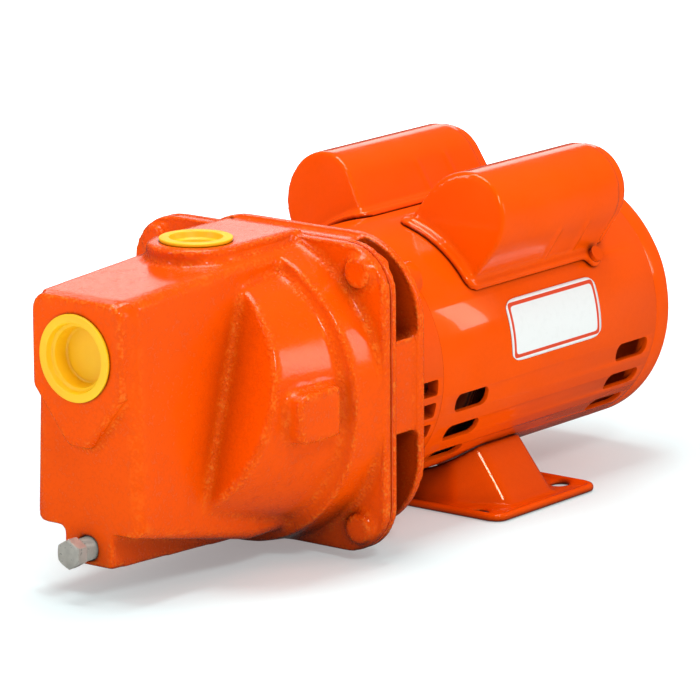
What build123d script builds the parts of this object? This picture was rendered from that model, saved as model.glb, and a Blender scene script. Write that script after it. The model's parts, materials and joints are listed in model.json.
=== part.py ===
from build123d import *
import math
import os

# Shallow well jet pump: a cast jet casing on a 56-frame motor, on a pressed foot.
# Millimetres. +Z is up, +X runs along the shaft from the suction face to the rear of the motor.
# The origin is the centre of the foot's bolt pattern, on the surface that the pump stands on.

# ---- driving dimensions -------------------------------------------------------------------
shaft_height = 88.9          # 3.5 in, the 56 frame's centre height
shell_radius = 72.05         # outside of the motor shell
shell_wall = 2.5
shell_front, shell_rear = -83.7, 118.0
shield_rear = 132.6          # rear face of the motor's rear end shield
face_x = -113.0              # the motor's C face, where the adapter bolts on
face_bolt_radius = 149.2 / 2
pilot_radius = 114.3 / 2
foot_bolt_x, foot_bolt_y = 76.2, 123.8
foot_slot_width, foot_slot_length = 8.8, 11.0
foot_length, foot_width, foot_sheet = 95.4, 166.6, 2.8

flange_front, flange_rear = -155.0, -148.5
flange_half_width, flange_half_height, flange_corner = 86.6, 84.5, 28.0
gasket_thickness = 0.5
adapter_flange = 4.7
casing_bolt_offset = 70.0

nose_front, pad_front = -297.5, -304.6
nose_top, nose_bottom, pad_half = 32.0, 38.5, 31.0   # half widths of the nose and the pad
suction_height = 130.55      # suction port axis above the floor
suction_thread, suction_mouth = 20.6, 21.4
discharge_x, block_top = -206.0, 176.3
discharge_thread, discharge_mouth = 16.2, 17.0
cap_plug_depth = 12.0
drain_height = 27.0

cover_angle = 33.0           # capacitor covers, from straight up
cover_radius, cover_centre, cover_wall = 26.2, 90.6, 2.2
cover_front, cover_step, cover_rear = -42.5, 76.0, 86.0
brim_width, brim_height = 4.6, 3.6
nose_round = 7.0
rib_places = (22.0, 48.0)     # pressed ribs across the covers' skirts
can_radius, can_centre = 18.4, 91.5
cover_screw_x, cover_screw_turn = 68.0, 57.5   # each cover's screw, turned from straight up
nose_slant = 12.0            # the covers' front ends lean back

shaft_radius = 8.5

H = shaft_height
shaft_axis = Axis((0, 0, H), (1, 0, 0))
shaft_plane = Plane(origin=(0, 0, H), x_dir=(1, 0, 0), z_dir=(0, -1, 0))
os.makedirs("parts", exist_ok=True)


# ---- helpers ------------------------------------------------------------------------------
def across(x):
    """The plane across the shaft at x: its own x is Y, its own y is height above the shaft."""
    return Plane(origin=(x, 0, H), x_dir=(0, 1, 0), z_dir=(1, 0, 0))


def turned(*points, mode=Mode.ADD):
    """Turn an outline of (x, radius) points about the shaft."""
    with BuildSketch(shaft_plane) as outline:
        with BuildLine():
            Polyline(*points, close=True)
        make_face()
    revolve(outline.sketch, axis=shaft_axis, mode=mode)


def ring(x0, x1, outer, inner=0.0, mode=Mode.ADD):
    """A plain ring or disc about the shaft from x0 to x1."""
    turned((x0, inner), (x1, inner), (x1, outer), (x0, outer), mode=mode)


def bar(x0, x1, y, z, radius, mode=Mode.ADD):
    """A round bar along the shaft direction, its centre at y and at height z over the shaft."""
    with BuildSketch(across(x0)) as section:
        with Locations((y, z)):
            Circle(radius)
    extrude(section.sketch, amount=x1 - x0, mode=mode)


def hexagon(x0, x1, y, z, across_flats, mode=Mode.ADD):
    """A hexagon bar along the shaft direction."""
    with BuildSketch(across(x0)) as section:
        with Locations((y, z)):
            RegularPolygon(across_flats / 2, 6, major_radius=False)
    extrude(section.sketch, amount=x1 - x0, mode=mode)


def slab(x0, x1, half_width, half_height, corner, mode=Mode.ADD):
    """A slab across the shaft with a rounded rectangular outline."""
    with BuildSketch(across(x0)) as section:
        RectangleRounded(2 * half_width, 2 * half_height, corner)
    extrude(section.sketch, amount=x1 - x0, mode=mode)


def box(x0, x1, y0, y1, z0, z1, mode=Mode.ADD):
    """A box between two corners, heights measured from the floor."""
    with Locations(((x0 + x1) / 2, (y0 + y1) / 2, (z0 + z1) / 2)):
        Box(x1 - x0, y1 - y0, z1 - z0, mode=mode)


def polar(radius, angle):
    """Y and height of a point on a circle about the shaft, angle in degrees from +Y."""
    a = math.radians(angle)
    return radius * math.cos(a), radius * math.sin(a)


def outward_plane(x, radius, angle):
    """A plane facing out from the shaft at x, radius and angle; its own x runs along the shaft."""
    y, z = polar(1, angle)
    return Plane(origin=(x, radius * y, H + radius * z), x_dir=(1, 0, 0), z_dir=(0, y, z))


def save(piece, name):
    """Name a finished piece and write it."""
    piece.label = name
    export_step(piece, f"parts/{name}.step")


# ---- pump casing --------------------------------------------------------------------------
ring_x, ring_height = -228.3, 97.2   # centre of the bowl's round front face, which leans forward at the bottom
ring_radius, ring_lean = 69.0, 18.4
bowl_radius, bowl_rear = 77.0, -170.0
bowl_bore = 76.0
bulkhead_rear = -228.0
suction_chamber_front, suction_chamber_rear = -278.0, -236.0
feed_wall = 6.0

with BuildPart() as bowl_inner:
    lean = math.radians(ring_lean)
    with BuildSketch(Plane(origin=(ring_x, 0, ring_height), x_dir=(0, 1, 0),
                           z_dir=(math.cos(lean), 0, -math.sin(lean)))):
        Circle(ring_radius)
    with BuildSketch(across(bowl_rear)):
        Circle(bowl_radius)
    loft()
    fillet(bowl_inner.edges().sort_by(Axis.X)[:1], radius=3)

with BuildPart() as nose:
    with BuildSketch(Plane.XZ.offset(-45)) as side:
        with BuildLine():
            Polyline((nose_front, 37), (nose_front, 162.4), (-196, 169), (-150, 169), (-150, 17),
                     (-205, 17), close=True)
        make_face()
    extrude(side.sketch, amount=90)
    with BuildSketch(Plane.YZ.offset(nose_front - 5)) as section:
        Polygon((-nose_top, 180), (nose_top, 180), (nose_bottom, 0), (-nose_bottom, 0), align=None)
    extrude(section.sketch, amount=160, mode=Mode.INTERSECT)
    long_edges = nose.edges().filter_by(lambda e: abs(e.center().Y) > nose_top - 1)
    fillet(long_edges.filter_by(lambda e: e.center().X < -160), radius=7)

with BuildPart() as pad:
    with BuildSketch(Plane.YZ.offset(pad_front)) as pad_outline:
        with BuildLine():
            Polyline((-pad_half, 112), (-pad_half, 162), (pad_half, 162), (pad_half, 112), (7.5, 82),
                     (-7.5, 82), close=True)
        make_face()
        fillet(pad_outline.vertices().group_by(Axis.Y)[0], radius=7)
        fillet(pad_outline.vertices().group_by(Axis.Y)[-1], radius=9)
    extrude(pad_outline.sketch, amount=20)
    front_edges = pad.faces().sort_by(Axis.X)[0].edges()
    fillet(front_edges, radius=3)

with BuildPart() as block:
    with BuildSketch(Plane.XY.offset(150)) as block_outline:
        with Locations((discharge_x, 0)):
            Circle(26.5)
        with Locations(((discharge_x + flange_rear) / 2, 0)):
            Rectangle(flange_rear - discharge_x, 53)
    extrude(block_outline.sketch, amount=block_top - 150)
    fillet(block.faces().sort_by(Axis.Z)[-1].edges(), radius=2)

with BuildPart() as pump_casing:
    add(bowl_inner.part)
    with BuildSketch(shaft_plane) as outer_bowl:
        with BuildLine():
            Polyline((-150, 0), (-150, 86), (-155, 86), (-175, 83.5), (-181, 66), (-181, 0), close=True)
        make_face()
        fillet(outer_bowl.vertices().sort_by(Axis.X)[2:4].sort_by(Axis.Y)[-1], radius=6)
    revolve(outer_bowl.sketch, axis=shaft_axis)
    slab(flange_front, flange_rear, flange_half_width, flange_half_height, flange_corner)
    add(nose.part)
    add(pad.part)
    add(block.part)

    # the keel under the nose takes the drain plug in its front face
    with BuildSketch(Plane.XZ.offset(-16.5)) as keel:
        with BuildLine():
            Polyline((nose_front, 17.5), (nose_front, 45), (-160, 45), (-160, 11), close=True)
        make_face()
    extrude(keel.sketch, amount=33)

    # a blind tapping boss on the near side, and blind bosses over the casing bolts
    with BuildSketch(Plane.XZ.offset(20)) as tapping:
        with Locations((-202, 91)):
            Rectangle(34, 27)
        fillet(tapping.vertices().group_by(Axis.X)[0], radius=7)
    extrude(tapping.sketch, amount=61)
    for y in (-casing_bolt_offset, casing_bolt_offset):
        for z in (-casing_bolt_offset, casing_bolt_offset):
            bar(flange_front - 4, flange_front, y, z, 8.6)

    # the hollow bowl, the pressure chamber behind the bulkhead and the suction chamber before it
    ring(-171, flange_rear, bowl_bore, mode=Mode.SUBTRACT)
    ring(-192, -170, 54, mode=Mode.SUBTRACT)
    box(bulkhead_rear, -180, -26, 26, 46, 146, mode=Mode.SUBTRACT)
    box(suction_chamber_front, suction_chamber_rear, -26, 26, 60, 152, mode=Mode.SUBTRACT)
    ring(suction_chamber_rear - 2, bulkhead_rear + 2, 16.2, mode=Mode.SUBTRACT)

    # the feed chamber in front of the nozzle, its passage back to the bowl, and the nozzle's thread
    box(-290, suction_chamber_front - feed_wall, -13, 13, 24, 104, mode=Mode.SUBTRACT)
    bar(-291, -186, 0, 36 - H, 9, mode=Mode.SUBTRACT)
    ring(-286, suction_chamber_front + 1, 8.0, mode=Mode.SUBTRACT)

    # the ports: a mouth that the cap plugs, then the thread
    bar(pad_front - 1, pad_front + cap_plug_depth + 2, 0, suction_height - H, suction_mouth, mode=Mode.SUBTRACT)
    bar(pad_front, suction_chamber_front + 1, 0, suction_height - H, suction_thread, mode=Mode.SUBTRACT)
    with BuildSketch(Plane.XY.offset(block_top + 1)) as mouth:
        with Locations((discharge_x, 0)):
            Circle(discharge_mouth)
    extrude(mouth.sketch, amount=-cap_plug_depth - 3, mode=Mode.SUBTRACT)
    with BuildSketch(Plane.XY.offset(block_top)) as thread:
        with Locations((discharge_x, 0)):
            Circle(discharge_thread)
    extrude(thread.sketch, amount=-30, mode=Mode.SUBTRACT)
    bar(nose_front - 1, -288, 0, drain_height - H, 6.4, mode=Mode.SUBTRACT)

    # tapped holes for the casing bolts, blind from the rear
    for y in (-casing_bolt_offset, casing_bolt_offset):
        for z in (-casing_bolt_offset, casing_bolt_offset):
            bar(flange_front - 2, flange_rear + 1, y, z, 4.0, mode=Mode.SUBTRACT)
save(pump_casing.part, "pump_casing")

# ---- port caps and drain plug --------------------------------------------------------------
def cap_outline(rim, plug, thickness):
    """Half section of a push-in cap: (radius, height) with the flat rim's top at height 0."""
    return [(0, -thickness - cap_plug_depth), (plug - 1.5, -thickness - cap_plug_depth),
            (plug, -thickness - cap_plug_depth + 2), (plug, -thickness), (rim, -thickness), (rim, 0),
            (plug - 3.0, 0), (plug - 4.2, -4), (plug - 5.4, -4.6), (plug - 6.0, -thickness - cap_plug_depth + 1.8),
            (0, -thickness - cap_plug_depth + 1.8)]


rim_thickness = 2.0
with BuildPart() as suction_cap:
    with BuildSketch(Plane(origin=(pad_front - rim_thickness, 0, suction_height), x_dir=(0, 0, 1),
                           z_dir=(0, -1, 0))) as section:
        with BuildLine():
            Polyline(*cap_outline(23.5, suction_mouth - 0.05, rim_thickness), close=True)
        make_face()
    revolve(section.sketch, axis=Axis((0, 0, suction_height), (1, 0, 0)))
save(suction_cap.part, "suction_cap")

with BuildPart() as discharge_cap:
    with BuildSketch(Plane(origin=(discharge_x, 0, block_top + rim_thickness), x_dir=(1, 0, 0),
                           z_dir=(0, -1, 0))) as section:
        with BuildLine():
            Polyline(*cap_outline(19.8, discharge_mouth - 0.05, rim_thickness), close=True)
        make_face()
    revolve(section.sketch, axis=Axis((discharge_x, 0, 0), (0, 0, 1)))
save(discharge_cap.part, "discharge_cap")

with BuildPart() as drain_plug:
    hexagon(-313.5, -306.5, 0, drain_height - H, 14.3)
    chamfer(drain_plug.faces().sort_by(Axis.X)[0].edges(), length=0.8)
    bar(-306.5, -290.5, 0, drain_height - H, 6.35)
save(drain_plug.part, "drain_plug")

# ---- jet, diffuser and impeller -------------------------------------------------------------
nozzle_tip = -258.0
with BuildPart() as nozzle:
    turned((-287, 4.5), (-287, 7.95), (suction_chamber_front, 7.95), (suction_chamber_front, 11),
           (-273, 11), (-271, 8.5), (nozzle_tip, 5.0), (nozzle_tip, 3.6))
save(nozzle.part, "nozzle")

with BuildPart() as venturi_tube:
    turned((-256, 12.5), (-256, 14.5), (-240, 16.1), (-232.6, 16.1), (-232.6, 14.6), (-230.4, 14.6),
           (-230.4, 16.1), (-224, 16.1), (-222, 14.5), (-174, 15.5), (-174, 12.5), (-238, 6.2))
save(venturi_tube.part, "venturi_tube")

with BuildPart() as venturi_o_ring:
    ring(-232.5, -230.5, 16.19, 14.65)
save(venturi_o_ring.part, "venturi_o_ring")

adapter_front = flange_rear + gasket_thickness
pilot_front = adapter_front - 3.5
diffuser_rear, diffuser_front = pilot_front, -171.0
vane_count = 7
with BuildPart() as diffuser:
    turned((diffuser_front - 5, 15.6), (diffuser_front - 5, 19), (diffuser_front + 3, 19), (diffuser_front + 3, 73),
           (diffuser_rear, 73), (diffuser_rear, 70), (diffuser_front + 6, 66), (diffuser_front + 6, 21),
           (diffuser_front + 2, 16.5), (diffuser_front - 2, 15.6))
    with BuildSketch(across(diffuser_front + 3)) as ports:
        with PolarLocations(69.5, vane_count):
            SlotOverall(14, 4.5, rotation=90)
    extrude(ports.sketch, amount=3.5, mode=Mode.SUBTRACT)
save(diffuser.part, "diffuser")

impeller_rear, impeller_radius, bore_radius = -153.0, 58.0, 7.97
with BuildPart() as impeller:
    turned((impeller_rear, bore_radius), (impeller_rear, impeller_radius), (impeller_rear - 2, impeller_radius),
           (impeller_rear - 3, 14), (impeller_rear - 15.5, 10.5), (impeller_rear - 15.5, bore_radius))
    turned((impeller_rear - 10, impeller_radius), (impeller_rear - 8.2, impeller_radius), (impeller_rear - 9.5, 15.2),
           (impeller_rear - 14.8, 15.0), (impeller_rear - 14.8, 17.0), (impeller_rear - 12, 17.5))
    for k in range(vane_count):
        with BuildSketch(across(impeller_rear - 9.1)) as vane:
            with BuildLine() as camber:
                start = 360 / vane_count * k
                Spline(polar(17, start), polar(33, start + 38), polar(impeller_radius - 1.5, start + 88))
            trace(camber.line, line_width=2.0)
        extrude(vane.sketch, amount=7.0)
save(impeller.part, "impeller")

# ---- gasket, motor adapter and its bolts ----------------------------------------------------
adapter_plate = adapter_front + adapter_flange
adapter_rim_front = face_x - 6.0
adapter_rim_half, adapter_rim_corner = 82.0, 46.0

with BuildPart() as casing_gasket:
    slab(flange_rear, adapter_front, flange_half_width - 0.3, flange_half_height - 0.3, flange_corner - 0.3)
    ring(flange_rear, adapter_front, bowl_bore + 0.5, mode=Mode.SUBTRACT)
    for y in (-casing_bolt_offset, casing_bolt_offset):
        for z in (-casing_bolt_offset, casing_bolt_offset):
            bar(flange_rear, adapter_front, y, z, 4.6, mode=Mode.SUBTRACT)
save(casing_gasket.part, "casing_gasket")

with BuildPart() as motor_adapter:
    slab(adapter_front, adapter_plate, flange_half_width, flange_half_height, flange_corner)
    ring(pilot_front, adapter_plate + 2, bowl_bore - 0.3)
    with BuildSketch(across(adapter_plate)) as barrel:
        RectangleRounded(160, 160, 44)
        Circle(62, mode=Mode.SUBTRACT)
    extrude(barrel.sketch, amount=adapter_rim_front - adapter_plate)
    slab(adapter_rim_front, face_x, adapter_rim_half, adapter_rim_half, adapter_rim_corner)
    ring(adapter_plate + 2, face_x + 1, pilot_radius + 0.1, mode=Mode.SUBTRACT)
    for angle in (41, 139, 215, 325):
        with BuildSketch(across(adapter_plate)) as window:
            with BuildLine():
                Polyline((0, 0), polar(140, angle - 20), polar(140, angle + 20), close=True)
            make_face()
        extrude(window.sketch, amount=adapter_rim_front - adapter_plate, mode=Mode.SUBTRACT)
    # the seal pocket in the middle, open to the bowl, and the shaft's way through
    ring(adapter_front - 4, adapter_front + 4.5, 17.6, mode=Mode.SUBTRACT)
    ring(adapter_front, adapter_plate + 3, 10.5, mode=Mode.SUBTRACT)
    for y in (-casing_bolt_offset, casing_bolt_offset):
        for z in (-casing_bolt_offset, casing_bolt_offset):
            bar(adapter_front - 1, adapter_plate + 1, y, z, 4.5, mode=Mode.SUBTRACT)
    for angle in (45, 135, 225, 315):
        y, z = polar(face_bolt_radius, angle)
        bar(adapter_rim_front - 1, face_x + 1, y, z, 5.2, mode=Mode.SUBTRACT)
save(motor_adapter.part, "motor_adapter")

with BuildPart() as casing_bolts:
    for y in (-casing_bolt_offset, casing_bolt_offset):
        for z in (-casing_bolt_offset, casing_bolt_offset):
            hexagon(adapter_plate, adapter_plate + 5.5, y, z, 13.0)
            bar(flange_front - 1.5, adapter_plate, y, z, 3.97)
save(casing_bolts.part, "casing_bolts")

with BuildPart() as adapter_bolts:
    for angle in (45, 135, 225, 315):
        y, z = polar(face_bolt_radius, angle)
        hexagon(adapter_rim_front - 6.0, adapter_rim_front, y, z, 14.3)
        bar(adapter_rim_front, face_x + 14, y, z, 4.75)
save(adapter_bolts.part, "adapter_bolts")

# ---- shaft seal -----------------------------------------------------------------------------
with BuildPart() as seal_seat:
    ring(adapter_front - 1.5, adapter_front + 4.4, 17.55, 9.6)
save(seal_seat.part, "seal_seat")

with BuildPart() as seal_spring:
    ring(impeller_rear + 0.1, impeller_rear + 1.4, 15.0, 8.55)
save(seal_spring.part, "seal_spring")

with BuildPart() as seal_head:
    ring(impeller_rear + 1.5, adapter_front - 1.55, 15.5, 8.53)
save(seal_head.part, "seal_head")

with BuildPart() as slinger:
    turned((-134, 8.52), (-134, 14), (-132, 24), (-130.5, 24), (-131, 12), (-128, 12), (-128, 8.52))
save(slinger.part, "slinger")

# ---- rotor ----------------------------------------------------------------------------------
front_bearing_x, rear_bearing_x = -104.0, 113.0
bearing_width, bearing_outer = 12.0, 20.0
shaft_front, shaft_end = -169.5, 141.0
core_front, core_rear, core_radius = -12.0, 58.0, 41.5

with BuildPart() as shaft:
    turned((shaft_front, 0), (shaft_front, 7.4), (shaft_front + 0.6, 7.94), (impeller_rear, 7.94), (impeller_rear, shaft_radius),
           (-92, shaft_radius), (-92, 10.5), (-40, 10.5), (-40, 12.0), (72, 12.0), (72, 10.5), (112.5, 10.5),
           (112.5, shaft_radius), (shaft_end - 1, shaft_radius), (shaft_end, 7.5), (shaft_end, 0))
save(shaft.part, "shaft")

with BuildPart() as rotor_core:
    ring(core_front, core_rear, core_radius, 12.02)
save(rotor_core.part, "rotor_core")

with BuildPart() as rotor_end_rings:
    for face, out in ((core_front, -1), (core_rear, 1)):
        ring(min(face, face + 9 * out), max(face, face + 9 * out), core_radius - 1.5, 27)
        for k in range(8):
            y, z = polar(33.5, 45 * k)
            with BuildSketch(across(face + 9 * out if out > 0 else face - 19)) as blade:
                with Locations((y, z)):
                    Rectangle(11, 2.4, rotation=45 * k)
            extrude(blade.sketch, amount=10)
save(rotor_end_rings.part, "rotor_end_rings")


def bearing(x, label):
    """Write a ball bearing whose front face is at x: inner ring, outer ring and balls."""
    middle = x + bearing_width / 2
    with BuildPart() as inner_ring:
        ring(x, x + bearing_width, 11.8, shaft_radius + 0.02)
        with Locations((middle, 0, H)):
            Torus(14.25, 3.2, rotation=(0, 90, 0), mode=Mode.SUBTRACT)
    save(inner_ring.part, label + "_bearing_inner_ring")
    with BuildPart() as outer_ring:
        ring(x, x + bearing_width, bearing_outer - 0.02, 16.7)
        with Locations((middle, 0, H)):
            Torus(14.25, 3.2, rotation=(0, 90, 0), mode=Mode.SUBTRACT)
    save(outer_ring.part, label + "_bearing_outer_ring")
    with BuildPart() as balls:
        for k in range(8):
            y, z = polar(14.25, 45 * k)
            with Locations((middle, y, H + z)):
                Sphere(3.1)
    save(balls.part, label + "_bearing_balls")


bearing(front_bearing_x, "front")
bearing(rear_bearing_x, "rear")

with BuildPart() as wave_washer:
    ring(rear_bearing_x + bearing_width + 0.2, rear_bearing_x + bearing_width + 0.8, 19.0, 15.5)
save(wave_washer.part, "wave_washer")

with BuildPart() as governor:
    ring(79, 81, 30, 10.52)
    for angle in (0, 180):
        y, z = polar(22, angle)
        with BuildSketch(across(81)) as weight:
            with Locations((y, z)):
                RectangleRounded(12, 30, 3)
        extrude(weight.sketch, amount=7)
save(governor.part, "governor")

with BuildPart() as governor_collar:
    ring(92, 98.5, 15.9, 10.56)
    ring(94, 96, 24, 15)
save(governor_collar.part, "governor_collar")

# ---- motor: stator, shell, end shields ------------------------------------------------------
stator_radius = shell_radius - shell_wall - 0.02
through_bolt_radius = 63.5
through_bolt_angles = (68, 112, 248, 292)
rear_screw_radius = 48.0
rear_screw_angles = (135, 315)

with BuildPart() as stator_core:
    ring(core_front - 2, core_rear + 2, stator_radius, core_radius + 14)
    with BuildSketch(across(core_front - 2)) as teeth:
        with PolarLocations(core_radius + 9, 24):
            Rectangle(17, 6.5)
    extrude(teeth.sketch, amount=core_rear - core_front + 4)
    ring(core_front - 3, core_rear + 3, core_radius + 0.45, mode=Mode.SUBTRACT)
    for angle in through_bolt_angles:
        y, z = polar(through_bolt_radius, angle)
        bar(core_front - 3, core_rear + 3, y, z, 3.2, mode=Mode.SUBTRACT)
save(stator_core.part, "stator_core")

with BuildPart() as stator_windings:
    for x0, x1 in ((core_front - 24, core_front - 2.1), (core_rear + 2.1, core_rear + 24)):
        ring(x0, x1, 59.5, core_radius + 3.5)
    fillet(stator_windings.edges().filter_by(GeomType.CIRCLE), radius=4)
save(stator_windings.part, "stator_windings")

slot_angles = (195.0, 210.7, 226.3)      # the shell's slots, three on each side
vent_angles = (184.0, 194.5, 205.0)      # the front end shield's vents
with BuildPart() as motor_shell:
    ring(shell_front, shell_rear, shell_radius, shell_radius - shell_wall)
    for x in (-55.1, 96.8):
        for angle in slot_angles + tuple(180 - a for a in slot_angles):
            with BuildSketch(outward_plane(x, 60, angle)) as slot:
                RectangleRounded(30, 11, 4.5)
            extrude(slot.sketch, amount=20, mode=Mode.SUBTRACT)
    for angle in (90 - cover_screw_turn, 90 + cover_screw_turn):
        with BuildSketch(outward_plane(cover_screw_x, 60, angle)) as hole:
            Circle(1.95)
        extrude(hole.sketch, amount=15, mode=Mode.SUBTRACT)
save(motor_shell.part, "motor_shell")

with BuildPart() as front_end_shield:
    turned((face_x, 35), (face_x, 76), (-104, 72), (shell_front - 0.1, 72), (shell_front - 0.1, 65), (-98, 65),
           (-105, 60), (-107, 24), (-90, 24), (-90, 20.0), (-105, 20.0), (-105, 14), (-110, 14), (-110, 35))
    ring(face_x - 4, face_x + 2, pilot_radius, 50)
    ring(shell_front - 1, shell_front + 6, shell_radius - shell_wall - 0.02, 66)
    for angle in (45, 135, 225, 315):
        y, z = polar(face_bolt_radius, angle)
        bar(face_x, face_x + 22, y, z, 10.5)
    for angle in (45, 135, 225, 315):
        y, z = polar(face_bolt_radius, angle)
        bar(face_x - 1, face_x + 16, y, z, 4.8, mode=Mode.SUBTRACT)
    for angle in vent_angles + tuple(180 - a for a in vent_angles):
        with BuildSketch(outward_plane(-98.5, 60, angle)) as vent:
            RectangleRounded(20, 9, 1.5)
        extrude(vent.sketch, amount=20, mode=Mode.SUBTRACT)
    for angle in through_bolt_angles:
        y, z = polar(through_bolt_radius, angle)
        bar(face_x - 1, shell_front + 7, y, z, 3.0, mode=Mode.SUBTRACT)
save(front_end_shield.part, "front_end_shield")

with BuildPart() as rear_end_shield:
    turned((shell_rear + 0.1, 65), (shell_rear + 0.1, 72), (shield_rear - 2.5, 72), (shield_rear, 69.5),
           (shield_rear, 14), (shield_rear - 4, 14), (shield_rear - 4, 20.0), (rear_bearing_x, 20.0),
           (rear_bearing_x, 25), (shield_rear - 4, 25), (shield_rear - 4, 65))
    ring(shell_rear - 6, shell_rear + 1, shell_radius - shell_wall - 0.02, 66)
    for angle in through_bolt_angles:
        y, z = polar(through_bolt_radius, angle)
        bar(shell_rear + 2, shield_rear - 1, y, z, 7)
        bar(shield_rear - 4.5, shield_rear + 1, y, z, 5.5, mode=Mode.SUBTRACT)
    for k in range(8):
        y, z = polar(42, 22.5 + 45 * k)
        with BuildSketch(across(shield_rear - 5)) as vent:
            with Locations((y, z)):
                SlotOverall(20, 9, rotation=22.5 + 45 * k)
        extrude(vent.sketch, amount=6, mode=Mode.SUBTRACT)
    for angle in through_bolt_angles:
        y, z = polar(through_bolt_radius, angle)
        bar(shell_rear - 7, shield_rear + 1, y, z, 3.0, mode=Mode.SUBTRACT)
    for angle in rear_screw_angles:
        y, z = polar(rear_screw_radius, angle)
        bar(shield_rear - 6, shield_rear + 1, y, z, 2.02, mode=Mode.SUBTRACT)
save(rear_end_shield.part, "rear_end_shield")

with BuildPart() as through_bolts:
    for angle in through_bolt_angles:
        y, z = polar(through_bolt_radius, angle)
        bar(face_x + 2, shield_rear - 4.5, y, z, 2.5)
        hexagon(shield_rear - 4.5, shield_rear - 0.5, y, z, 8.0)
save(through_bolts.part, "through_bolts")

# ---- switch, terminals and rear cover -------------------------------------------------------
with BuildPart() as start_switch:
    box(104, 106.5, -47, 47, H + 26, H + 46)
    box(100, 104, -12, 12, H + 28, H + 40)
save(start_switch.part, "start_switch")

cover_end = 152.0
with BuildPart() as rear_cover:
    turned((shield_rear, 0), (shield_rear, 60.5), (cover_end - 6, 60.5), (cover_end, 54.5), (cover_end, 0))
    turned((shield_rear, 0), (shield_rear, 58.9), (cover_end - 6.6, 58.9), (cover_end - 1.6, 53.9),
           (cover_end - 1.6, 0), mode=Mode.SUBTRACT)
    for angle in rear_screw_angles:
        y, z = polar(rear_screw_radius, angle)
        bar(cover_end - 3, cover_end + 1, y, z, 2.1, mode=Mode.SUBTRACT)
    for row in (-1, 0, 1):
        box(cover_end - 3, cover_end + 1, -26, 26, H - 24 + 9 * row - 2, H - 24 + 9 * row + 2, mode=Mode.SUBTRACT)
    with BuildSketch(Plane(origin=(143, 49, H), x_dir=(1, 0, 0), z_dir=(0, 1, 0))) as gland:
        Circle(5)
    extrude(gland.sketch, amount=20, mode=Mode.SUBTRACT)
save(rear_cover.part, "rear_cover")

with BuildPart() as cord_bushing:
    with BuildSketch(Plane(origin=(143, 57.5, H), x_dir=(1, 0, 0), z_dir=(0, 1, 0))) as bushing:
        Circle(4.9)
        Circle(3.2, mode=Mode.SUBTRACT)
    extrude(bushing.sketch, amount=6.5)
save(cord_bushing.part, "cord_bushing")

with BuildPart() as terminal_board:
    box(shield_rear + 0.1, shield_rear + 3, -30, 30, H + 24, H + 50)
    for k in range(5):
        box(shield_rear + 3, shield_rear + 10, -24 + 11 * k, -18 + 11 * k, H + 34, H + 35.2)
save(terminal_board.part, "terminal_board")

with BuildPart() as overload_protector:
    bar(shield_rear + 0.1, shield_rear + 12, 0, -40, 13)
save(overload_protector.part, "overload_protector")

with BuildPart() as rear_cover_screws:
    for angle in rear_screw_angles:
        y, z = polar(rear_screw_radius, angle)
        bar(cover_end, cover_end + 2.5, y, z, 4.2)
        bar(shield_rear - 3, cover_end, y, z, 2.0)
save(rear_cover_screws.part, "rear_cover_screws")

# ---- foot -----------------------------------------------------------------------------------
def octagon(half_x, half_y, flat_x, flat_y):
    """Corner points of a rectangle with its corners cut away."""
    quarter = [(half_x, -flat_y), (half_x, flat_y), (flat_x, half_y), (-flat_x, half_y)]
    return quarter + [(-x, -y) for x, y in quarter]


def pedestal(grow, low, high, round_over):
    """The pressed-up middle of the foot: a loft between two cut-cornered outlines, its edges rounded."""
    with BuildPart() as raised:
        with BuildSketch(Plane.XY.offset(low)) as base:
            Polygon(*octagon(39 + grow, 73 + grow, 20 + grow / 2, 45 + grow / 2), align=None)
        with BuildSketch(Plane.XY.offset(high)) as top:
            Polygon(*octagon(28 + grow, 47 + grow, 18 + grow / 2, 34 + grow / 2), align=None)
        loft([base.sketch, top.sketch])
        slopes = raised.edges().filter_by(lambda e: abs(e.tangent_at(0).Z) > 0.1)
        fillet(slopes, radius=round_over)
        fillet(raised.faces().sort_by(Axis.Z)[-1].edges(), radius=round_over * 0.6)
    return raised.part


pedestal_top = 34.5
with BuildPart() as foot_base:
    with BuildSketch() as plate:
        RectangleRounded(foot_length, foot_width, 9)
    extrude(plate.sketch, amount=foot_sheet)
    with BuildSketch(Plane.XY) as lip:
        RectangleRounded(foot_length, foot_width, 9)
        RectangleRounded(foot_length - 9, foot_width - 9, 5, mode=Mode.SUBTRACT)
    extrude(lip.sketch, amount=5.2)
    fillet(foot_base.faces().sort_by(Axis.Z)[-1].edges(), radius=1.8)
    add(pedestal(0, 0, pedestal_top, 8))
    ring(-60, 60, shell_radius + 0.01, mode=Mode.SUBTRACT)
    add(pedestal(-foot_sheet, -0.5, pedestal_top - foot_sheet, 5.5), mode=Mode.SUBTRACT)
    with BuildSketch() as slots:
        with GridLocations(foot_bolt_x, foot_bolt_y, 2, 2):
            SlotOverall(foot_slot_length, foot_slot_width)
    extrude(slots.sketch, amount=foot_sheet + 1, mode=Mode.SUBTRACT)
save(foot_base.part, "foot_base")

# ---- capacitors under their covers ----------------------------------------------------------
def cover_frame(side):
    """The plane across a capacitor cover: its own y points out from the shaft, side -1 or +1."""
    tilt = math.radians(cover_angle) * side
    return Plane(origin=(0, 0, H), x_dir=(0, math.cos(tilt), -math.sin(tilt)), z_dir=(1, 0, 0))


def cover_solid(frame, x0, x1, radius, low, mode=Mode.ADD):
    """An arch over the capacitor: half round on top, straight skirts down to the shell."""
    with BuildSketch(frame.offset(x0)) as arch:
        with Locations((0, cover_centre)):
            Circle(radius)
        with Locations((0, (cover_centre + low) / 2)):
            Rectangle(2 * radius, cover_centre - low)
    extrude(arch.sketch, amount=x1 - x0, mode=mode)


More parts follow.
